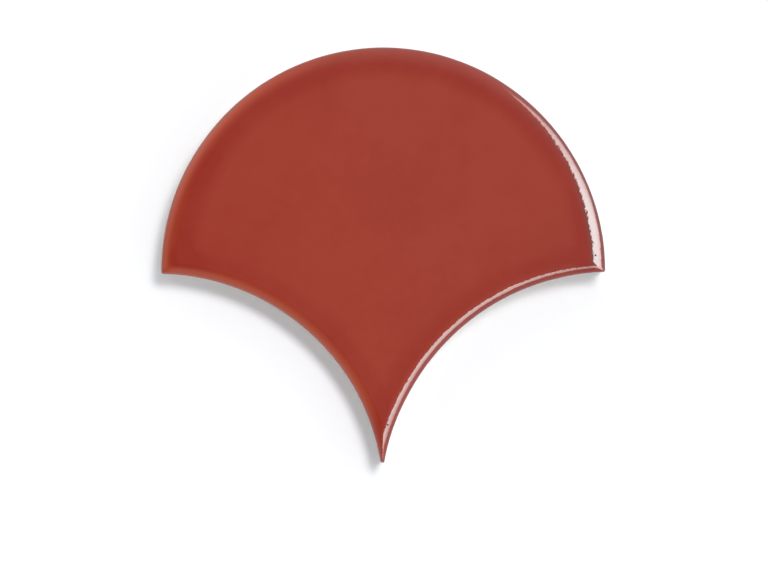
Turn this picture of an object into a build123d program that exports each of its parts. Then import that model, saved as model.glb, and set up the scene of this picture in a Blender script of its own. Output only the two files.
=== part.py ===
from build123d import *
import os
from math import ceil, radians, sqrt, tan

# A fan wall tile, also called a fish scale: one pressed and fired piece, glazed on its face and edge.
# It lies on its back, face up, in millimetres, with +Y towards the round end.
# The origin is on the back, under the centre of the round end.

# Plan of the face
fan_radius = 60.0  # round end, which is also half the width
joint = 2.0  # grout joint between a round end and the hollow side that it nests in
corner_joint = 3.2  # grout joint between the side corners of two tiles in one course
corner_drop = 0.9  # how far the side corners lie below the centre of the round end
corner_radius = 0.6  # blunting of the two side corners
tip_radius = 0.6  # blunting of the tip between the two hollow sides

# Section through the rim
thickness = 8.5
cushion_width = 4.6  # along the round end, from the outline to where the flat of the face begins
hollow_cushion_width = 3.2  # the same along the hollow sides, which fall away more sharply
cushion_drop = 1.5  # how far the cushion falls over its width, the same all round
arris_radius = 1.3  # rounding between the cushion and the side
side_draft = 1.0  # degrees, the tile being smaller at its back
back_chamfer = 0.35

# Keyed back
rim_land = 5.0  # flat left all round the keyed field
pocket_pitch = 10.0
rib_width = 2.0
pocket_depth = 0.7
pocket_draft = 20.0  # degrees, the pockets being smaller at their bottom
pocket_corner = 0.8  # cut straight across each corner of a pocket
least_pocket = 12.0  # square millimetres, under which a pocket cut off by the rim is left out

overshoot = 2.0  # how far a cutter stands past the tile

# What follows from the plan: a tile nests on the round ends of the two tiles below it
hollow_radius = fan_radius + joint
half_pitch = fan_radius + corner_joint / 2
corner_reach = sqrt(fan_radius**2 - corner_drop**2)
course_rise = corner_drop + sqrt(hollow_radius**2 - (half_pitch - corner_reach) ** 2)
neighbours = [(side * half_pitch, -course_rise) for side in (-1, 1)]

# What follows from the section
shoulder_height = thickness - cushion_drop
foot_inset = shoulder_height * tan(radians(side_draft))


def around(centre):
    """The place of a round form, turned so that its seam points away from the tile."""
    return Pos(*centre) * Rot(0, 0, -90)


def disc(radius, centre=(0, 0)):
    """A flat disc."""
    return around(centre) * Circle(radius)


def fan(inset=0):
    """The tile's outline with sharp corners, drawn in by the inset."""
    plan = disc(fan_radius - inset)
    for centre in neighbours:
        plan -= disc(hollow_radius + inset, centre)
    return plan


def blunted_fan():
    """The outline with its two side corners and its tip rounded."""
    corners = fan().vertices().sort_by(Axis.Y)
    plan = fillet(corners[0], tip_radius)
    corners = plan.vertices().group_by(Axis.Y)[-1]
    return fillet(corners, corner_radius)


def rim_column(radius, width, inward, centre=(0, 0)):
    """A turned column that carries the rim's section: inward is -1 round the tile, 1 round a neighbour."""
    foot = radius + inward * (foot_inset + back_chamfer)
    heel = radius + inward * foot_inset
    brow = radius + inward * width
    shoulder = (radius, shoulder_height)
    top = thickness + overshoot
    side = Polyline((0, -overshoot), (foot, -overshoot), (foot, 0), (heel, back_chamfer), shoulder)
    cushion = TangentArc((brow, thickness), shoulder, tangent=(-inward, 0))
    cap = Polyline((brow, thickness), (brow, top), (0, top), (0, -overshoot))
    section = make_face(side + cushion + cap)
    arris = section.vertices().sort_by_distance(shoulder)[0]
    section = Plane.XZ * fillet(arris, arris_radius)
    return around(centre) * revolve(section, Axis.Z)


def blank():
    """The tile with a plain back."""
    body = extrude(blunted_fan(), thickness) & rim_column(fan_radius, cushion_width, -1)
    for centre in neighbours:
        body -= rim_column(hollow_radius, hollow_cushion_width, 1, centre)
    return body


def leaning_disc(radius, lean, centre=(0, 0)):
    """A plate as deep as a pocket, whose rim leans by the pockets' draft."""
    low = (Align.CENTER, Align.CENTER, Align.MIN)
    return around(centre) * Cone(radius, radius + lean, pocket_depth, align=low)


def keyed_field():
    """All of the back that may be keyed, inside the flat rim land."""
    lean = pocket_depth * tan(radians(pocket_draft))
    field = leaning_disc(fan_radius - rim_land, -lean)
    for centre in neighbours:
        field -= leaning_disc(hollow_radius + rim_land, lean, centre)
    return field


def key_pockets():
    """The shallow pockets of the back, in rows that leave a rib crossing at the origin."""
    rows = 2 * ceil(fan_radius / pocket_pitch)
    side = pocket_pitch - rib_width
    mouth = chamfer(Rectangle(side, side).vertices(), pocket_corner)
    pocket = extrude(mouth, pocket_depth, taper=pocket_draft)
    field = keyed_field()
    pockets = []
    for place in GridLocations(pocket_pitch, pocket_pitch, rows, rows):
        cell = field & (place * pocket)
        pockets += [piece for piece in cell.solids() if piece.volume >= least_pocket * pocket_depth]
    return pockets


def wall_tile():
    """The whole tile."""
    return blank() - key_pockets()


os.makedirs("parts", exist_ok=True)
export_step(wall_tile(), "parts/wall_tile.step")
print("outline: pitch", round(2 * half_pitch, 2), "rise", round(course_rise, 2))
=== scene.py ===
import bmesh
import bpy
from math import asin, atan2, cos, degrees, exp, pi, radians, sin, sqrt, tan
from mathutils import Matrix, Vector, noise


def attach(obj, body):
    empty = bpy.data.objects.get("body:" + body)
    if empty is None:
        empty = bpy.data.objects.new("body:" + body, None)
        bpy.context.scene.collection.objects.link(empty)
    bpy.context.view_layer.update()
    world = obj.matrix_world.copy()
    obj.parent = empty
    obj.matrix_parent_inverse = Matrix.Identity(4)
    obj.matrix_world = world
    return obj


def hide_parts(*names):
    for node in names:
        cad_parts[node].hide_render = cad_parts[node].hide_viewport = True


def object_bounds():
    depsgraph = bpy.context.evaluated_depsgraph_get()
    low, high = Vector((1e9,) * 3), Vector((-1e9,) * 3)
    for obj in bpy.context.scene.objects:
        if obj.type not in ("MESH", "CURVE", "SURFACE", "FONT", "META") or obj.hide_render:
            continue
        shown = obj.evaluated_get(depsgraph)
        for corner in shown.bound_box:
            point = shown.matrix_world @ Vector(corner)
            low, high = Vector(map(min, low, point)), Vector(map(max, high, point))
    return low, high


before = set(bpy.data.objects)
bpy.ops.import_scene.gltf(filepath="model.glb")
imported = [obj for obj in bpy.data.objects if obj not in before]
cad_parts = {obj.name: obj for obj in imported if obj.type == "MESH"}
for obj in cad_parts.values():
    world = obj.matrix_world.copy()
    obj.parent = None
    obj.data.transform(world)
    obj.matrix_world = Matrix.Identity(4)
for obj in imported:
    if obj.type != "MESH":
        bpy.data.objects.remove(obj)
cadLow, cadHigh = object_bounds()
mm = 0.001  # the tile is worked out in millimetres and scaled once

# Plan and section of the tile, in millimetres, as in the CAD source
tile = {
    "fanRadius": 60.0,
    "thickness": cadHigh.z / mm,
    "joint": 2.0,
    "cornerJoint": 3.2,
    "cornerDrop": 0.9,
    "cornerRadius": 0.6,
    "tipRadius": 0.6,
    "cushionWidth": 4.6,
    "hollowCushionWidth": 3.2,
    "cushionDrop": 1.5,
    "arrisRadius": 1.3,
    "sideDraft": 1.0,
    "backChamfer": 0.35,
    "pocketDepth": 0.7,
}

# How finely the tile is divided, in millimetres and counts
weave = {
    "longCount": 150,  # from a corner to the top, and from the tip to the side stations
    "shortCount": 70,  # from a side corner to its side station
    "cornerStep": 0.2,  # spacing along the outline at a corner
    "rimStep": 0.13,  # spacing square to the outline, at the outline
    "meeting": (0.0, 20.0),  # where the three patches of the face meet
    "rimInset": 0.4,  # where the patches stop and the wall begins
    "arrisRows": 6,
    "sideRows": 20,
    "join": 0.0005,  # vertices nearer than this are one
    "cornerJoin": 0.06,  # the same along the edges that are still open at the side corners
    "backJoin": 0.00001,  # the same once the back is closed
    "cadJoin": 0.001,  # the same in the CAD mesh
    "cadFlat": 1,  # degrees; edges of the CAD mesh that turn less are taken out
    "level": 0.01,  # heights up to this are the plane of the back
    "slack": 0.1,  # a pocket's faces rise at least this far, and past its depth by no more
    "keyedFrom": 3.0,  # no pocket lies nearer to the outline
    "crease": 28,  # degrees; edges that turn more are drawn sharp
}

# Unevenness of the glazed surface, in millimetres; each wave is its height, length and seed.
# The first of a pair is where something is not there at all, and the second where it is there in full.
relief = {
    "face": [(0.045, 34.0, 3.1), (0.026, 13.0, 17.4), (0.009, 5.0, 8.2)],
    "faceFrom": (-1.5, 1.2),  # heights about the shoulder
    "side": [(0.05, 17.0, 5.5), (0.02, 5.0, 12.9)],
    "sideFrom": (0.2, 1.5),  # heights above the back
    "sideFlattening": 0.35,  # heights count for less, so that the side's waves are upright
    # Where the round end is out of true: at how many degrees, over how many, and by how much
    "outOfTrue": [(5, 22, 0.24), (68, 38, 0.17), (150, 30, -0.2)],
    "outOfTrueFrom": (0.6, 1.0),  # of the fan's radius
    "tipLean": (-28, -52, -0.28),  # the tip leans to the left between two places on Y, by how much
    "mitreSoftening": {"left": 30, "tip": 12, "right": 3},  # passes that round the ridge of two cushions
    "mitrePass": 0.5,  # the strength of one pass
    "mitreReach": 0.35,  # the ridge is where the two cushions are nearer than this in height
    "glazeLine": 4.8,  # height at which the glaze stops on the side
    "glazeLineWander": [(0.6, 23.0, 2.2), (0.35, 6.0, 9.7), (0.15, 2.0, 31.0)],
    "glazeEdge": (-0.1, 0.3),  # heights about that line
    "glazeCoat": 0.13,  # how far the glaze stands proud of the bare body
    "glazeBead": 0.07,  # how far its lower edge swells past that
    "beadEnd": (1.6, 0.3),
}

# How the glaze lies, with painted light and painted shade on it, as strengths out of 1 and as the places
# where they hold.
# Places are millimetres in from the outline, degrees round the fan from +X, or millimetres from a corner.
# A pair goes from none to full, and a band of four goes up over the first two and down over the last two.
coat = {
    "onFace": (-3.5, -0.5),  # heights about the shoulder
    "byLeftCorner": (26, 4),
    "byTip": (26, 4),
    "byRightCorner": (28, 5),
    "roundPool": (4.6, 1.0),  # how far in the glaze pools below the cushion, and how strongly
    "hollowPool": (4.3, 0.6),
    "poolBand": (0.45, 0.9, 1.05, 2.1),  # shares of that distance
    "poolShift": 0.9,  # the pool of the round end lies further in on the left
    "poolShiftAt": (115, 165),
    "sidePool": 0.9,
    "sidePoolAt": (2.6, 0.2),  # heights above the glaze line
    "blots": [(-54, 4, 6, 0.25), (-0.8, -45, 5, 0.45)],  # more pools: x, y, reach and strength
    "cornerPool": 0.35,  # near the right corner, inside the rim
    # painted shade near the right corner, inside the rim
    "cornerShade": 0.1,
    "cornerIn": (1, 2.4),
    "roundFacingLeft": (0.3, -1.0),  # painted light and thin glaze on a rim that faces left; how far a rim faces right
    "hollowFacingLeft": (0.1, -0.1),
    "thinTo": 3.0,  # how far in the thin glaze and its painted light reach, and how far near the left corner
    "thinToLeft": 2.7,
    "thinFull": 0.9,  # how far in it is at its thinnest
    "thinLessLeft": 0.12,  # how much less thin it is near the left corner and near the tip
    "thinLessTip": 0.75,
    "edgeRight": 0.92,  # how dark the edge of the round end is: glaze gathered there, with painted shade that is strongest on the right
    "edgeLeft": 0.35,
    "edgeRightAt": (72, 32),
    "edgeHollow": 0.4,  # the same on the hollow sides, and how much of it is missing near the right corner
    "edgeLessCorner": 0.9,
    "edgeIn": (1.2, 0.4),
    "fringe": 0.45,  # painted shade: a darker fringe on the cushion, beside the heaviest edge
    "fringeBand": (1.6, 2.5, 3.0, 4.8),
    "fringeWeight": (0.3, 0.9),
    "darkFringe": 0.5,  # painted shade: the darkest fringe, a dark halo inside the cushion along the reflected highlight, above the right corner
    "darkFringeBand": (2.6, 3.1, 3.7, 4.6),
    "darkFringeAt": (30, 12),
    "darkFringeStop": (1.2, 1.8),  # it stops at the hollow rim
    "upper": 0.28,  # painted shade over the cushion of the upper right
    "upperBand": (0, 18, 95, 125),
    "upperIn": (4.6, 2.4),
    "rippledBand": (0.8, 1.6, 3.6, 5.2),
    "rippledAt": (52, 38),
    "rippledFacing": (-0.1, 0.3),
    "wear": 0.26,  # how far the glaze is worn through at the end of the tip
    "wearAt": (-0.1, 0.5),  # past the centre of the tip's rounding
}


def flat(x, y):
    return Vector((x, y, 0.0))


def ray(angle):
    return Vector((cos(angle), sin(angle), 0.0))


def aim(start, end):  # angle of the line from start to end
    return atan2(end.y - start.y, end.x - start.x)


def blend(a, b, share):
    return a * (1 - share) + b * share


def soften(none, full, x):  # 0 at none, 1 at full, and smooth between; either may be the larger
    t = min(max((x - none) / (full - none), 0.0), 1.0)
    return t * t * (3 - 2 * t)


def band(rise, full, fade, end, x):  # 1 from full to fade, 0 outside rise and end, and smooth between
    return soften(rise, full, x) * soften(end, fade, x)


def ripple(p, waves):  # the seed of a wave picks its own part of the noise
    total = 0.0
    for height, length, seed in waves:
        total += height * noise.noise(p / length + Vector((seed, seed * 1.7, seed * 0.6)))
    return total


def circlesMeet(a, reachA, b, reachB, side):  # the crossing on the left of a to b, or on its right for -1
    apart = (b - a).length
    along = (reachA**2 - reachB**2 + apart**2) / (2 * apart)
    across = sqrt(reachA**2 - along**2)
    course = (b - a) / apart
    return a + course * along + Vector((-course.y, course.x, 0)) * across * side


def rimOf(t, width, pool):
    # The rim's section is a cushion arc that the rounded arris meets smoothly.
    radius = (width**2 + t["cushionDrop"] ** 2) / (2 * t["cushionDrop"])
    lean = asin((width - t["arrisRadius"]) / (radius - t["arrisRadius"]))
    centre = t["thickness"] - radius + (radius - t["arrisRadius"]) * cos(lean)
    return {"width": width, "radius": radius, "arrisInset": t["arrisRadius"] * (1 - sin(lean)),
            "arrisCentre": centre, "pool": pool}


roundRim = rimOf(tile, tile["cushionWidth"], coat["roundPool"])
hollowRim = rimOf(tile, tile["hollowCushionWidth"], coat["hollowPool"])


def planOf(t):
    # The outline runs anticlockwise from the top of the round end, as arcs that meet smoothly.
    hollow = t["fanRadius"] + t["joint"]
    halfPitch = t["fanRadius"] + t["cornerJoint"] / 2
    cornerReach = sqrt(t["fanRadius"] ** 2 - t["cornerDrop"] ** 2)
    courseRise = t["cornerDrop"] + sqrt(hollow**2 - (halfPitch - cornerReach) ** 2)
    fan = flat(0, 0)
    leftNext = flat(-halfPitch, -courseRise)
    rightNext = flat(halfPitch, -courseRise)
    inner = t["fanRadius"] - t["cornerRadius"]
    outer = hollow + t["cornerRadius"]
    leftCorner = circlesMeet(fan, inner, leftNext, outer, -1)
    rightCorner = circlesMeet(fan, inner, rightNext, outer, 1)
    tip = circlesMeet(leftNext, hollow + t["tipRadius"], rightNext, hollow + t["tipRadius"], 1)
    runs = [
        (fan, t["fanRadius"], pi / 2, aim(fan, leftCorner), 1),
        (leftCorner, t["cornerRadius"], aim(fan, leftCorner), aim(leftCorner, leftNext), 1),
        (leftNext, hollow, aim(leftNext, leftCorner), aim(leftNext, tip), -1),
        (tip, t["tipRadius"], aim(tip, leftNext), aim(tip, rightNext), 1),
        (rightNext, hollow, aim(rightNext, tip), aim(rightNext, rightCorner), -1),
        (rightCorner, t["cornerRadius"], aim(rightCorner, rightNext), aim(fan, rightCorner), 1),
        (fan, t["fanRadius"], aim(fan, rightCorner), pi / 2, 1),
    ]
    rims = [roundRim] * 2 + [hollowRim] * 4 + [roundRim] * 2  # at the ends of the arcs
    arcs = []
    for run, rimIn, rimOut in zip(runs, rims, rims[1:]):
        centre, radius, start, end, bulge = run
        turn = (end - start) * bulge % (2 * pi) * bulge  # anticlockwise round a bulge, clockwise in a hollow
        arcs.append({"centre": centre, "radius": radius, "start": start, "turn": turn, "bulge": bulge,
                     "length": abs(turn) * radius, "rimIn": rimIn, "rimOut": rimOut})
    return arcs


outline = planOf(tile)
outlineLength = sum(arc["length"] for arc in outline)


def onOutline(s):  # the place, which way is out, and how high the arris is centred, at a length along it
    s = min(max(s, 0.0), outlineLength)
    for arc in outline:
        if s <= arc["length"] or arc is outline[-1]:
            share = min(s / arc["length"], 1.0)
            out = ray(arc["start"] + arc["turn"] * share)
            arris = blend(arc["rimIn"]["arrisCentre"], arc["rimOut"]["arrisCentre"], share)
            return arc["centre"] + out * arc["radius"], out * arc["bulge"], arris
        s -= arc["length"]


def sidesAt(p):  # for each of the three sides: how far inside it a point lies, its rim, and which way is out
    fan = outline[0]
    found = [(fan["radius"] - p.length, roundRim, p.normalized())]
    for arc in (outline[2], outline[4]):
        off = p - arc["centre"]
        found.append((off.length - arc["radius"], hollowRim, -off.normalized()))
    return found


def cornerAt(p):  # beside a rounded corner: the inset of a point, the two rims, and its share of the turn
    for arc in (outline[1], outline[3], outline[5]):
        off = p - arc["centre"]
        share = (atan2(off.y, off.x) - arc["start"]) % (2 * pi) / arc["turn"]
        if 0 < share < 1:
            return arc["radius"] - off.length, arc["rimIn"], arc["rimOut"], share
    return None


def insetOf(p):  # how far inside the outline a point lies
    inset = min(side[0] for side in sidesAt(p))
    corner = cornerAt(p)
    return min(inset, corner[0]) if corner else inset


def rimHeight(inset, rim):
    if inset >= rim["width"]:
        return tile["thickness"]
    if inset >= rim["arrisInset"]:
        return tile["thickness"] - rim["radius"] + sqrt(rim["radius"] ** 2 - (rim["width"] - inset) ** 2)
    run = tile["arrisRadius"] - max(inset, 0)
    return rim["arrisCentre"] + sqrt(tile["arrisRadius"] ** 2 - run**2)


def faceHeight(p):
    height = min(rimHeight(inset, rim) for inset, rim, out in sidesAt(p))
    corner = cornerAt(p)
    if corner:
        inset, rimIn, rimOut, share = corner
        height = min(height, blend(rimHeight(inset, rimIn), rimHeight(inset, rimOut), share))
    return height


def graded(length, count, step):  # places along a length, close together at its start
    lead = min(1.0, count * step / length)
    return [length * (lead * k / count + (1 - lead) * (k / count) ** 2) for k in range(count + 1)]


def stationsOf():
    # The patches of the face have corners at the side corners and the tip, and part at stations between.
    ends = [0.0]
    for arc in outline:
        ends.append(ends[-1] + arc["length"])
    middles = [(a + b) / 2 for a, b in zip(ends, ends[1:])]
    meeting = flat(*weave["meeting"])
    parting = []
    for k in (2, 4):
        arc = outline[k]
        share = abs(aim(arc["centre"], meeting) - arc["start"]) / abs(arc["turn"])
        parting.append(ends[k] + share * arc["length"])
    return {"top": 0.0, "left": middles[1], "leftSide": parting[0], "tip": middles[3],
            "rightSide": parting[1], "right": middles[5], "end": outlineLength}


def faceStretches():  # for each patch: its corner, the stations before and after it, and its counts
    at = stationsOf()
    long, short = weave["longCount"], weave["shortCount"]
    return [
        (at["left"], at["top"], at["leftSide"], long, short),
        (at["tip"], at["leftSide"], at["rightSide"], long, long),
        (at["right"], at["rightSide"], at["end"], short, long),
    ]


def onRim(s):
    place, out, arris = onOutline(s)
    return place - out * weave["rimInset"]


def stretch(corner, station, count):  # lengths along the outline, from a corner to a station
    way = 1 if station > corner else -1
    return [corner + way * d for d in graded(abs(station - corner), count, weave["cornerStep"])]


def seam(station, count):  # points from a station on the rim to where the patches meet
    start, meeting = onRim(station), flat(*weave["meeting"])
    run = (meeting - start).length
    return [start.lerp(meeting, d / run) for d in graded(run, count, weave["rimStep"])]


def travelled(points):  # how far along its line each point lies, as a share
    out = [0.0]
    for a, b in zip(points, points[1:]):
        out.append(out[-1] + (b - a).length)
    return [d / out[-1] for d in out]


def addPatch(bm, corner, before, after, countBefore, countAfter):
    # Two sides of a patch run along the rim from its corner, and the other two are seams between patches.
    sideA = [onRim(s) for s in stretch(corner, before, countBefore)]
    sideB = [onRim(s) for s in stretch(corner, after, countAfter)]
    farA, farB = seam(after, countBefore), seam(before, countAfter)
    shareA = [(a + b) / 2 for a, b in zip(travelled(sideA), travelled(farA))]
    shareB = [(a + b) / 2 for a, b in zip(travelled(sideB), travelled(farB))]
    grid = bmesh.ops.create_grid(bm, x_segments=countBefore, y_segments=countAfter, size=0.5)
    for v in grid["verts"]:
        i = round((v.co.x + 0.5) * countBefore)
        j = round((v.co.y + 0.5) * countAfter)
        u, w = shareA[i], shareB[j]
        p = blend(sideA[i], farA[i], w) + blend(sideB[j], farB[j], u)
        p -= blend(blend(sideA[0], sideA[-1], u), blend(sideB[-1], farA[-1], u), w)
        v.co = (p.x, p.y, faceHeight(p))


def addWall(bm):
    # Down the rim from where the patches stop: round the arris, down the side and over the back chamfer.
    lengths = []
    for corner, before, after, countBefore, countAfter in faceStretches():
        lengths += stretch(corner, before, countBefore) + stretch(corner, after, countAfter)
    lengths = sorted(set(round(s, 6) for s in lengths))
    arrisRows, sideRows, radius = weave["arrisRows"], weave["sideRows"], tile["arrisRadius"]
    footInset = (tile["thickness"] - tile["cushionDrop"]) * tan(radians(tile["sideDraft"]))
    firstSlope = asin(1 - weave["rimInset"] / radius)
    columns, rows = len(lengths) - 1, arrisRows + sideRows + 1
    grid = bmesh.ops.create_grid(bm, x_segments=columns, y_segments=rows, size=0.5)
    for v in grid["verts"]:
        place, out, arris = onOutline(lengths[round((v.co.x + 0.5) * columns)])
        row = round((v.co.y + 0.5) * rows)
        if row <= arrisRows:
            slope = blend(firstSlope, pi / 2, row / arrisRows)
            inset, height = radius * (1 - sin(slope)), arris + radius * cos(slope)
        elif row < rows:
            share = (row - arrisRows) / sideRows
            inset, height = footInset * share, blend(arris, tile["backChamfer"], share)
        else:
            inset, height = footInset + tile["backChamfer"], 0.0
        p = place - out * inset
        v.co = (p.x, p.y, height)


def addPockets(bm, node):
    # The key pockets of the back are as in the CAD model.
    back = bmesh.new()
    back.from_mesh(node.data)
    bmesh.ops.scale(back, vec=(1 / mm,) * 3, verts=back.verts)
    bmesh.ops.remove_doubles(back, verts=back.verts, dist=weave["cadJoin"])
    others = []
    for f in back.faces:
        top = max(v.co.z for v in f.verts)
        isPocket = weave["slack"] <= top <= tile["pocketDepth"] + weave["slack"]
        if not isPocket or insetOf(f.calc_center_median()) < weave["keyedFrom"]:
            others.append(f)
    bmesh.ops.delete(back, geom=others, context="FACES")
    turn = radians(weave["cadFlat"])
    bmesh.ops.dissolve_limit(back, angle_limit=turn, verts=back.verts, edges=back.edges)
    mesh = bpy.data.meshes.new("keyPockets")
    back.to_mesh(mesh)
    back.free()
    bm.from_mesh(mesh)
    bpy.data.meshes.remove(mesh)


def closeBack(bm):
    edges = [e for e in bm.edges if e.is_boundary and all(v.co.z < weave["level"] for v in e.verts)]
    bmesh.ops.triangle_fill(bm, use_beauty=True, use_dissolve=False, edges=edges, normal=(0, 0, -1))


def roundMitres(bm):
    # The cushions of two sides meet in a ridge, which the glaze rounds over.
    ridge = []
    for v in bm.verts:
        heights = [rimHeight(inset, rim) for inset, rim, out in sidesAt(flat(v.co.x, v.co.y))]
        lower, higher = sorted(heights)[:2]
        onCushions = v.co.z > hollowRim["arrisCentre"] and higher < tile["thickness"]
        if onCushions and higher - lower < relief["mitreReach"]:
            ridge.append(v)
    third = tile["fanRadius"] / 3
    parts = {
        "left": [v for v in ridge if v.co.x < -third],
        "tip": [v for v in ridge if -third <= v.co.x <= third],
        "right": [v for v in ridge if v.co.x > third],
    }
    for name, passes in relief["mitreSoftening"].items():
        for k in range(passes):
            bmesh.ops.smooth_vert(bm, verts=parts[name], factor=relief["mitrePass"], use_axis_z=True)


def whereIs(v):  # what the glaze depends on at a vertex
    p = flat(v.co.x, v.co.y)
    sides = sidesAt(p)
    inset, rim, out = min(sides, key=lambda side: side[0])
    around = Vector((p.x, p.y, v.co.z * relief["sideFlattening"]))
    shoulder = tile["thickness"] - tile["cushionDrop"]
    leftCorner, tip, rightCorner = (outline[k]["centre"] for k in (1, 3, 5))
    return {
        "p": p,
        "sides": sides,
        "inset": inset,
        "rim": rim,
        "out": out,
        "around": around,
        "height": v.co.z,
        "towards": (degrees(atan2(p.y, p.x)) + 90) % 360 - 90,  # from -90 up, so that no side corner is split
        "aboveShoulder": v.co.z - shoulder,
        "aboveLine": v.co.z - relief["glazeLine"] - ripple(around, relief["glazeLineWander"]),
        "onFace": soften(*coat["onFace"], v.co.z - shoulder),
        "byLeft": soften(*coat["byLeftCorner"], (p - leftCorner).length),
        "byTip": soften(*coat["byTip"], (p - tip).length),
        "byRight": soften(*coat["byRightCorner"], (p - rightCorner).length),
        "pastTip": tip.y - p.y,
    }


def isBack(v):  # on the plane of the back or in one of its pockets
    inField = insetOf(flat(v.co.x, v.co.y)) > tile["cushionWidth"]
    return v.co.z < weave["level"] or inField and v.co.z < tile["pocketDepth"] + weave["slack"]


def facingLeftAt(at):  # how far this rim faces left: painted light on it, and less painted shade
    ends = coat["roundFacingLeft"] if at["rim"] is roundRim else coat["hollowFacingLeft"]
    return soften(*ends, at["out"].x)


def edgeWeight(at):  # how dark this edge is: glaze gathered there, with painted shade on edges that face right
    if at["rim"] is roundRim:
        return blend(coat["edgeLeft"], coat["edgeRight"], soften(*coat["edgeRightAt"], at["towards"]))
    return blend(coat["edgeHollow"], 0, max(facingLeftAt(at), coat["edgeLessCorner"] * at["byRight"]))


def poolAt(at):
    onSide = coat["sidePool"] * soften(*coat["sidePoolAt"], at["aboveLine"])
    belowCushion = 0.0
    for depth, rim, out in at["sides"]:
        reach, strength = rim["pool"]
        if rim is roundRim:
            reach += coat["poolShift"] * soften(*coat["poolShiftAt"], at["towards"])
        belowCushion += strength * band(*coat["poolBand"], depth / reach)
    more = coat["cornerPool"] * at["byRight"] * soften(*coat["cornerIn"], at["inset"])
    for x, y, reach, strength in coat["blots"]:
        more += strength * exp(-((at["p"] - flat(x, y)).length / reach) ** 2)
    return max(onSide, belowCushion) + at["onFace"] * more


# thin glaze over the arris, lighter as painted light on rims that face left
def thinAndLitAt(at):
    inner = blend(coat["thinTo"], coat["thinToLeft"], at["byLeft"])
    less = coat["thinLessLeft"] * at["byLeft"] + coat["thinLessTip"] * at["byTip"]
    return at["onFace"] * facingLeftAt(at) * soften(inner, coat["thinFull"], at["inset"]) * (1 - less)


# dark glaze gathered at the edge with painted shade, strongest on the right, and a painted dark halo inside
# the reflected highlight
def darkGlazeAndShadeAt(at):
    atEdge = edgeWeight(at) * soften(*coat["edgeIn"], at["inset"])
    fromRound = at["sides"][0][0]
    fringe = coat["darkFringe"] * band(*coat["darkFringeBand"], fromRound)
    fringe *= soften(*coat["darkFringeAt"], at["towards"]) * soften(*coat["darkFringeStop"], at["inset"])
    return at["onFace"] * max(atEdge, fringe)


# painted shade on the cushion beside the dark edge, over the upper right and near the right corner
def shadedCushionAt(at):
    inset = at["inset"]
    fringe = coat["fringe"] * band(*coat["fringeBand"], inset) * soften(*coat["fringeWeight"], edgeWeight(at))
    upper = coat["upper"] * band(*coat["upperBand"], at["towards"]) * soften(*coat["upperIn"], inset)
    corner = coat["cornerShade"] * at["byRight"] * soften(*coat["cornerIn"], inset)
    return at["onFace"] * max(fringe, upper, corner)


def rippledAt(at):
    facing = soften(*coat["rippledFacing"], at["out"].x)
    return band(*coat["rippledBand"], at["inset"]) * soften(*coat["rippledAt"], at["towards"]) * facing


def shapeGlaze(v, at, coated):  # moves a vertex by the waves, the coat with its bead, and what is out of true
    bead = coated * soften(*relief["beadEnd"], at["aboveLine"])
    push = ripple(at["around"], relief["side"]) * soften(*relief["sideFrom"], at["height"])
    push += relief["glazeCoat"] * (coated - 1) + relief["glazeBead"] * bead
    warp = sum(by * exp(-((at["towards"] - place) / over) ** 2) for place, over, by in relief["outOfTrue"])
    warp *= soften(*relief["outOfTrueFrom"], at["p"].length / tile["fanRadius"])
    start, end, lean = relief["tipLean"]
    v.co.z += ripple(at["p"], relief["face"]) * soften(*relief["faceFrom"], at["aboveShoulder"])
    v.co += Vector((v.normal.x, v.normal.y, 0)) * push + at["p"].normalized() * warp
    v.co.x += lean * soften(start, end, at["p"].y)


def coatTile(bm):
    # How the glaze lies, with its painted light and painted shade, is kept on the vertices, for the material
    # to read.
    names = ("pool", "thinAndLit", "darkGlazeAndShade", "shadedCushion", "bare", "rippled")
    pool, thinAndLit, darkGlazeAndShade, shadedCushion, bare, rippled = (bm.verts.layers.float.new(name) for name in names)
    bm.normal_update()
    for v in bm.verts:
        if isBack(v):
            v[bare] = 1
            continue
        at = whereIs(v)
        coated = soften(*relief["glazeEdge"], at["aboveLine"])
        wear = at["onFace"] * soften(*coat["wearAt"], at["pastTip"])
        v[bare] = max(1 - coated, coat["wear"] * wear)
        v[pool] = poolAt(at)
        v[thinAndLit] = thinAndLitAt(at)
        v[darkGlazeAndShade] = max(darkGlazeAndShadeAt(at), wear)
        v[shadedCushion] = shadedCushionAt(at)
        v[rippled] = rippledAt(at)
        shapeGlaze(v, at, coated)


def buildTile(node):
    bm = bmesh.new()
    for patch in faceStretches():
        addPatch(bm, *patch)
    addWall(bm)
    bmesh.ops.remove_doubles(bm, verts=bm.verts, dist=weave["join"])
    joints = [v for v in bm.verts if v.is_boundary and v.co.z > tile["backChamfer"]]
    bmesh.ops.remove_doubles(bm, verts=joints, dist=weave["cornerJoin"])
    roundMitres(bm)
    addPockets(bm, node)
    closeBack(bm)
    bmesh.ops.remove_doubles(bm, verts=bm.verts, dist=weave["backJoin"])
    bmesh.ops.recalc_face_normals(bm, faces=bm.faces)
    coatTile(bm)
    bmesh.ops.scale(bm, vec=(mm,) * 3, verts=bm.verts)
    for e in bm.edges:
        e.smooth = e.calc_face_angle(0) < radians(weave["crease"])  # 0 where an edge hasn't two faces
    for f in bm.faces:
        f.smooth = True
    print("tile mesh:", len(bm.verts), "vertices,", len(bm.faces), "faces,",
          sum(not e.is_manifold for e in bm.edges), "open edges")
    mesh = bpy.data.meshes.new("glazedTile")
    bm.to_mesh(mesh)
    bm.free()
    piece = bpy.data.objects.new("glazedTile", mesh)
    bpy.context.scene.collection.objects.link(piece)
    return piece


def newMaterial(name):
    material = bpy.data.materials.new(name)
    material.use_nodes = True
    return material, material.node_tree, material.node_tree.nodes["Principled BSDF"]


def feed(tree, value, socket):  # a value is another node's output, or a number, a place or a colour
    if isinstance(value, bpy.types.NodeSocket):
        tree.links.new(value, socket)
    else:
        socket.default_value = value


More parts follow.
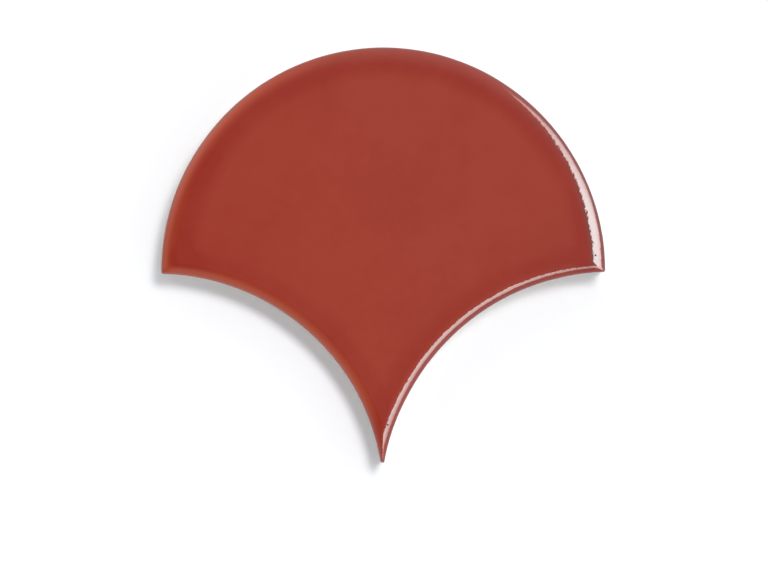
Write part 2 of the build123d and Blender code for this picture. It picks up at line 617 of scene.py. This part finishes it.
def mathNode(tree, operation, *values):
    node = tree.nodes.new("ShaderNodeMath")
    node.operation = operation
    for socket, value in zip(node.inputs, values):
        feed(tree, value, socket)
    return node.outputs["Value"]


def vectorNode(tree, operation, a, b):
    node = tree.nodes.new("ShaderNodeVectorMath")
    node.operation = operation
    feed(tree, a, node.inputs[0])
    feed(tree, b, node.inputs[1])
    return node.outputs


def rangeNode(tree, value, fromRange, toRange):
    node = tree.nodes.new("ShaderNodeMapRange")
    for name, number in zip(("From Min", "From Max", "To Min", "To Max"), fromRange + toRange):
        node.inputs[name].default_value = number
    feed(tree, value, node.inputs["Value"])
    return node.outputs["Result"]


def rampNode(tree, value, stops):  # the first two stops are the two that a ramp starts with
    node = tree.nodes.new("ShaderNodeValToRGB")
    elements = node.color_ramp.elements
    for k, (place, level) in enumerate(stops):
        stop = elements[k] if k < 2 else elements.new(place)
        stop.position = place
        stop.color = (level, level, level, 1)
    feed(tree, value, node.inputs["Fac"])
    return node.outputs["Color"]


def attributeNode(tree, name):
    node = tree.nodes.new("ShaderNodeAttribute")
    node.attribute_name = name
    return node.outputs["Fac"]


def noiseNode(tree, place, scale, detail):
    node = tree.nodes.new("ShaderNodeTexNoise")
    node.inputs["Scale"].default_value = scale
    node.inputs["Detail"].default_value = detail
    feed(tree, place, node.inputs["Vector"])
    return node.outputs["Fac"]


def mixNode(tree, share, a, b):
    node = tree.nodes.new("ShaderNodeMix")
    node.data_type = "RGBA"
    feed(tree, share, node.inputs["Factor"])
    colours = [socket for socket in node.inputs if socket.type == "RGBA"]
    feed(tree, a, colours[0])
    feed(tree, b, colours[1])
    return next(socket for socket in node.outputs if socket.type == "RGBA")


def bumpNode(tree, height, distance, strength, under=None):  # a bump may lie on another
    node = tree.nodes.new("ShaderNodeBump")
    node.inputs["Distance"].default_value = distance
    feed(tree, height, node.inputs["Height"])
    feed(tree, strength, node.inputs["Strength"])
    if under:
        feed(tree, under.outputs["Normal"], node.inputs["Normal"])
    return node


# Each mottling is its scale, in waves a metre, its detail and its strength or its depth in metres
glaze = {
    "field": (0.337, 0.036, 0.015, 1),
    "pooled": (0.297, 0.0203, 0.0074, 1),
    "thinAndLit": (0.455, 0.075, 0.032, 1),  # over the arris: thin glaze where the body shows through, and painted light on rims that face left
    "shadedCushion": (0.17, 0.028, 0.022, 1),  # painted shade on the cushion of the upper right, beside the dark edge and near the right corner
    "darkGlazeAndShade": (0.17, 0.05, 0.046, 1),  # at the edge, strongest on the right: glaze gathered there, with painted shade; also the worn glaze at the tip
    "roughness": 0.05,
    "ior": 1.55,
    "pooling": (0.1, 0.9),  # how pooled the colour is where the glaze doesn't pool, and where it does
    "noiseSpan": (0.2, 0.8),  # what the noise runs between
    "clouds": (55, 3, 0.35),
    "flecks": (420, 2, 0.14),
    "peel": (950, 2, 0.00005),  # orange peel
    "peelOnFace": 0.2,  # its strength on the flat of the face, against the rippled right rim
    "pits": [(57.45, 3.6, 0.27), (1.15, -41.9, 0.27), (56.9, 6.9, 0.14)],  # x, y and reach, in millimetres
    "pit": (0.02, 0.012, 0.01, 1),
    "pitDepth": 0.0004,
}

biscuit = {
    "pale": (0.74, 0.69, 0.60, 1),
    "dark": (0.66, 0.60, 0.50, 1),
    "roughness": 0.9,
    "patches": (2600 / 3, 3),  # where it is pale and where dark: scale and detail
    "grain": (2600, 4, 0.00005),
}


def pitsNode(tree, place):  # 1 at the middle of each pit, in plan
    inPlan = vectorNode(tree, "MULTIPLY", place, (1, 1, 0))["Vector"]
    pitted = 0.0
    for x, y, reach in glaze["pits"]:
        apart = vectorNode(tree, "DISTANCE", inPlan, flat(x, y) * mm)["Value"]
        near = rangeNode(tree, apart, (0, reach * mm), (1, 0))
        pitted = mathNode(tree, "MAXIMUM", near, pitted)
    return pitted


def glazeMaterial():
    material, tree, shader = newMaterial("brickRedGlaze")
    place = tree.nodes.new("ShaderNodeTexCoord").outputs["Object"]
    bare = attributeNode(tree, "bare")
    depth = rangeNode(tree, attributeNode(tree, "pool"), (0, 1), glaze["pooling"])
    for scale, detail, strength in (glaze["clouds"], glaze["flecks"]):
        mottle = noiseNode(tree, place, scale, detail)
        mottle = rangeNode(tree, mottle, glaze["noiseSpan"], (-strength, strength))
        depth = mathNode(tree, "ADD", depth, mottle)
    colour = mixNode(tree, depth, glaze["field"], glaze["pooled"])
    # thin glaze with painted light, painted shade on the cushion, and the dark edge glaze with painted shade
    for lie in ("thinAndLit", "shadedCushion", "darkGlazeAndShade"):
        colour = mixNode(tree, attributeNode(tree, lie), colour, glaze[lie])
    pitted = pitsNode(tree, place)
    colour = mixNode(tree, pitted, colour, glaze["pit"])
    clay = mixNode(tree, noiseNode(tree, place, *biscuit["patches"]), biscuit["dark"], biscuit["pale"])
    feed(tree, mixNode(tree, bare, colour, clay), shader.inputs["Base Color"])
    roughness = rangeNode(tree, bare, (0, 1), (glaze["roughness"], biscuit["roughness"]))
    feed(tree, roughness, shader.inputs["Roughness"])
    shader.inputs["IOR"].default_value = glaze["ior"]

    scale, detail, distance = glaze["peel"]
    strength = rangeNode(tree, attributeNode(tree, "rippled"), (0, 1), (glaze["peelOnFace"], 1))
    peel = bumpNode(tree, noiseNode(tree, place, scale, detail), distance, strength)
    scale, detail, distance = biscuit["grain"]
    grain = bumpNode(tree, noiseNode(tree, place, scale, detail), distance, bare, peel)
    onGlaze = rangeNode(tree, bare, (0, 1), (1, 0))  # no pit shows on the bare back below it
    hole = bumpNode(tree, mathNode(tree, "MULTIPLY", pitted, onGlaze), glaze["pitDepth"], 1, grain)
    hole.invert = True
    feed(tree, hole.outputs["Normal"], shader.inputs["Normal"])
    return material


# The camera looks straight down, and its frame is the photograph's
camera = {
    "lens": 120,
    "sensor": 36,
    "frame": (768, 585),
    "pixelsPerMm": 3.695,
    "origin": (382.69, 269.57),  # where the tile's origin shows, in pixels from the frame's top left corner
    "turn": -0.246,  # degrees
    "height": 6.4,  # millimetres above the floor at which the outline is widest
    "nearest": 0.01,  # metres
    "farthest": 50,
}


def addCamera():
    c = camera
    data = bpy.data.cameras.new("overhead")
    data.lens = c["lens"]
    data.sensor_width = c["sensor"]
    data.clip_start = c["nearest"]
    data.clip_end = c["farthest"]
    wide, high = c["frame"]
    originX, originY = c["origin"]
    away = c["lens"] * wide / (c["sensor"] * c["pixelsPerMm"])
    offset = Vector((wide / 2 - originX, originY - high / 2, 0)) / c["pixelsPerMm"]
    offset.rotate(Matrix.Rotation(radians(c["turn"]), 3, "Z"))
    eye = bpy.data.objects.new("overhead", data)
    eye.location = (offset.x * mm, offset.y * mm, (away + c["height"]) * mm)
    eye.rotation_euler = (0, 0, radians(c["turn"]))
    bpy.context.scene.collection.objects.link(eye)
    bpy.context.scene.camera = eye


# Nearly half of the light is a soft sun that casts the shadow, and the rest comes from the room
light = {
    "sun": 0.46,  # light that the sun gives the floor, where 1 shows white as white
    "around": (35, 48, 61),  # degrees anticlockwise from +X; three suns side by side
    "up": 56.5,
    "softness": 17,  # degrees
    "floor": 0.985,
    "floorReach": 4,  # metres
}

# The room is white near the level of the floor, and darkest to the left of overhead
room = {
    "around": 200,
    "off": 30,  # degrees from overhead
    "levels": [(0, 0.18), (90, 1.0), (22, 0.2), (30, 0.38), (38, 0.48), (60, 0.55)],  # degrees from there
    "white": (0.15, 0.5),  # how high it is white, and how high that ends, of 1 for overhead
    "window": (145, 14, 28, 1.1),  # a pale patch low on the left: around, up and across, and its level
    "gain": 1.04,
    "tint": (0.985, 1.005, 1.065, 1),
}

# A long softbox to the right, seen only in the gloss; its edges are (out, up) in metres, square to its length
softbox = {
    "around": -20,
    "upperEdge": (0.56, 1.55),
    "lowerEdge": (1.69, 0.72),
    "ends": (-2.0, 2.7),  # metres along it
    "tint": (0.8, 1.0, 0.99, 1),
    "glow": 15.5,  # where white is 1
    "across": [(0, 0.5), (1, 1), (0.23, 0.5), (0.385, 0.78), (0.58, 0.97)],  # from the lower edge up
    "along": [(0.12, 0.2), (1, 0.03), (0.23, 0.47), (0.32, 0.6), (0.42, 0.64), (0.49, 0.94), (0.57, 0.96),
              (0.62, 0.82), (0.68, 0.65), (0.77, 0.46), (0.83, 0.27), (0.9, 0.05)],
    "top": [(0, 0.92), (1, 1), (0.27, 0.867), (0.348, 0.815), (0.41, 0.77), (0.45, 0.74), (0.49, 0.935),
            (0.524, 0.91), (0.574, 0.868), (0.638, 0.844), (0.715, 0.905), (0.8, 1)],  # it is lit up to here
    "bottom": [(0, 0.23), (1, 0.23), (0.32, 0.2), (0.38, 0.02), (0.42, 0.02), (0.45, 0.16), (0.49, 0.23)],
    "cutWidth": 0.03,  # over which the light sets in past those two
    "nearCut": (0.442, 0.347, 0.387),  # a lower corner cut off: its slant, and where it is dark and bright
    "farCut": (-0.39, 0.625, 0.57),
}


def addSun():
    for around in light["around"]:
        data = bpy.data.lights.new("softSun", "SUN")
        data.energy = light["sun"] / len(light["around"]) * pi / sin(radians(light["up"]))
        data.angle = radians(light["softness"])
        sun = bpy.data.objects.new("softSun", data)
        sun.rotation_euler = (0, radians(90 - light["up"]), radians(around))
        sun.visible_glossy = False
        bpy.context.scene.collection.objects.link(sun)


def addSoftbox():
    upper, lower = (Vector((out, 0, up)) for out, up in (softbox["upperEdge"], softbox["lowerEdge"]))
    data = bpy.data.lights.new("rightSoftbox", "AREA")
    data.shape = "RECTANGLE"
    near, far = softbox["ends"]
    data.size = far - near
    data.size_y = (upper - lower).length
    data.energy = pi * data.size * data.size_y
    data.use_nodes = True
    tree = data.node_tree
    place = tree.nodes.new("ShaderNodeSeparateXYZ")
    feed(tree, tree.nodes.new("ShaderNodeNewGeometry").outputs["Parametric"], place.inputs["Vector"])
    x, y = place.outputs["X"], place.outputs["Y"]
    across = rampNode(tree, y, softbox["across"])
    glow = mathNode(tree, "MULTIPLY", across, rampNode(tree, x, softbox["along"]))
    for edge, within in ((softbox["top"], softbox["cutWidth"]), (softbox["bottom"], -softbox["cutWidth"])):
        reach = mathNode(tree, "SUBTRACT", rampNode(tree, x, edge), y)
        glow = mathNode(tree, "MULTIPLY", glow, rangeNode(tree, reach, (0, within), (0, 1)))
    for slant, dark, bright in (softbox["nearCut"], softbox["farCut"]):
        corner = mathNode(tree, "MULTIPLY_ADD", y, slant, x)
        glow = mathNode(tree, "MULTIPLY", glow, rangeNode(tree, corner, (dark, bright), (0, 1)))
    emission = tree.nodes["Emission"]
    feed(tree, mathNode(tree, "MULTIPLY", glow, softbox["glow"]), emission.inputs["Strength"])
    emission.inputs["Color"].default_value = softbox["tint"]
    length = Vector((0, 1, 0))
    rise = (upper - lower).normalized()
    turn = Matrix((length, rise, length.cross(rise))).transposed()
    middle = (upper + lower) / 2 + length * (near + far) / 2
    panel = bpy.data.objects.new("rightSoftbox", data)
    panel.matrix_world = (Matrix.Rotation(radians(softbox["around"]), 4, "Z")
                          @ Matrix.Translation(middle) @ turn.to_4x4())
    panel.visible_diffuse = False
    panel.visible_camera = False
    bpy.context.scene.collection.objects.link(panel)


def awayFrom(tree, way, around, up):  # the angle between the way and a direction given in degrees
    flatPart = ray(radians(around)) * cos(radians(up))
    direction = (flatPart.x, flatPart.y, sin(radians(up)))
    return mathNode(tree, "ARCCOSINE", vectorNode(tree, "DOT_PRODUCT", way, direction)["Value"])


def addWorld():
    world = bpy.data.worlds.new("studio")
    bpy.context.scene.world = world
    world.use_nodes = True
    tree = world.node_tree
    way = tree.nodes.new("ShaderNodeTexCoord").outputs["Generated"]
    share = rangeNode(tree, awayFrom(tree, way, room["around"], 90 - room["off"]), (0, pi / 2), (0, 1))
    levels = rampNode(tree, share, [(away / 90, level) for away, level in room["levels"]])
    height = tree.nodes.new("ShaderNodeSeparateXYZ")
    feed(tree, way, height.inputs["Vector"])
    skirt = rangeNode(tree, height.outputs["Z"], room["white"], (1, 0))
    around, up, across, level = room["window"]
    window = rangeNode(tree, awayFrom(tree, way, around, up), (radians(across), 0), (0, level))
    brightness = mathNode(tree, "ADD", mathNode(tree, "MAXIMUM", levels, skirt), window)
    background = tree.nodes["Background"]
    feed(tree, mathNode(tree, "MULTIPLY", brightness, room["gain"]), background.inputs["Strength"])
    background.inputs["Color"].default_value = room["tint"]


def addFloor():
    bm = bmesh.new()
    bmesh.ops.create_grid(bm, x_segments=1, y_segments=1, size=light["floorReach"])
    mesh = bpy.data.meshes.new("floor")
    bm.to_mesh(mesh)
    bm.free()
    floor = bpy.data.objects.new("floor", mesh)
    bpy.context.scene.collection.objects.link(floor)
    material, tree, shader = newMaterial("whiteFloor")
    shader.inputs["Base Color"].default_value = (light["floor"],) * 3 + (1,)
    shader.inputs["Roughness"].default_value = 1
    shader.inputs["Specular IOR Level"].default_value = 0
    mesh.materials.append(material)


addCamera()
print("camera placed")
glazedTile = buildTile(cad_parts["wall_tile"])
glazedTile.data.materials.append(glazeMaterial())
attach(glazedTile, "root")
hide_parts("wall_tile")
print("tile made")
addSun()
addSoftbox()
addWorld()
addFloor()
print("studio lit")
bpy.context.scene.view_settings.view_transform = "Standard"
